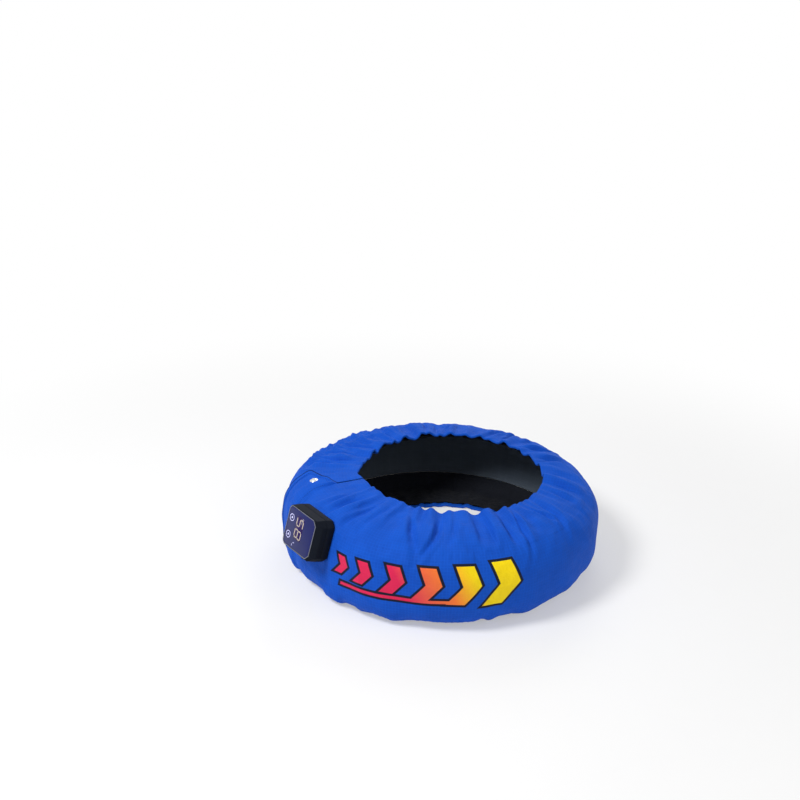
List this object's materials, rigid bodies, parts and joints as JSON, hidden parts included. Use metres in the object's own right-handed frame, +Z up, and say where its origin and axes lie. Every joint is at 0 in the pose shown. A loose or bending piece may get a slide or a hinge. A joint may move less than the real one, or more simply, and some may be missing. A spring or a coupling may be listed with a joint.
{
  "type": "motorcycle tire warmer",
  "caption": "Ring-shaped gathered cloth heater that wraps a motorcycle's front tire, with an inner heating mat, a lapped closure and a digital controller on its wall",
  "frame": {"origin": "under the middle of the whole part's box, on the surface that it lies on", "axes": "+Z up, along the ring's axis; -Y towards the printed front of the wall; the closure and the controller are on the -X side"},
  "size_m": [0.6418, 0.639, 0.1884],
  "materials": {
    "cover_cloth": "woven ripstop, satin",
    "dark_cloth": "matt woven",
    "heater_face": "smooth coated cloth",
    "batting_felt": "felted",
    "fastener_tape": "hook and loop pile",
    "case_plastic": "fine moulded grain",
    "panel_film": "gloss",
    "nickel_plate": "bright plated",
    "steel": "plain",
    "board": "solder mask",
    "lead_sleeve": "matt"
  },
  "bodies": {
    "root": {"tread_panel": "cover_cloth", "upper_skirt": "cover_cloth", "lower_skirt": "cover_cloth", "closure_flap": "cover_cloth", "batting": "batting_felt", "heating_mat": "heater_face", "upper_skirt_lining": "dark_cloth", "lower_skirt_lining": "dark_cloth", "upper_hem_elastic": "dark_cloth", "lower_hem_elastic": "dark_cloth", "loop_tape": "fastener_tape", "hook_tape": "fastener_tape", "snap_stud": "nickel_plate", "snap_socket": "nickel_plate", "snap_cap": "nickel_plate", "snap_rivet": "nickel_plate", "case_base": "case_plastic", "case_cover": "case_plastic", "face_panel": "panel_film", "cord_gland": "case_plastic", "circuit_board": "board", "display_module": "case_plastic", "touch_spring_1": "steel", "touch_spring_2": "steel", "relay": "case_plastic", "terminal_block": "board", "heater_lead": "lead_sleeve", "temperature_probe": "lead_sleeve", "mounting_plate": "steel", "plate_screw_1": "steel", "plate_screw_2": "steel", "plate_screw_3": "steel", "plate_screw_4": "steel", "case_screw_1": "steel", "case_screw_2": "steel", "case_screw_3": "steel", "case_screw_4": "steel"}
  },
  "joints": []
}
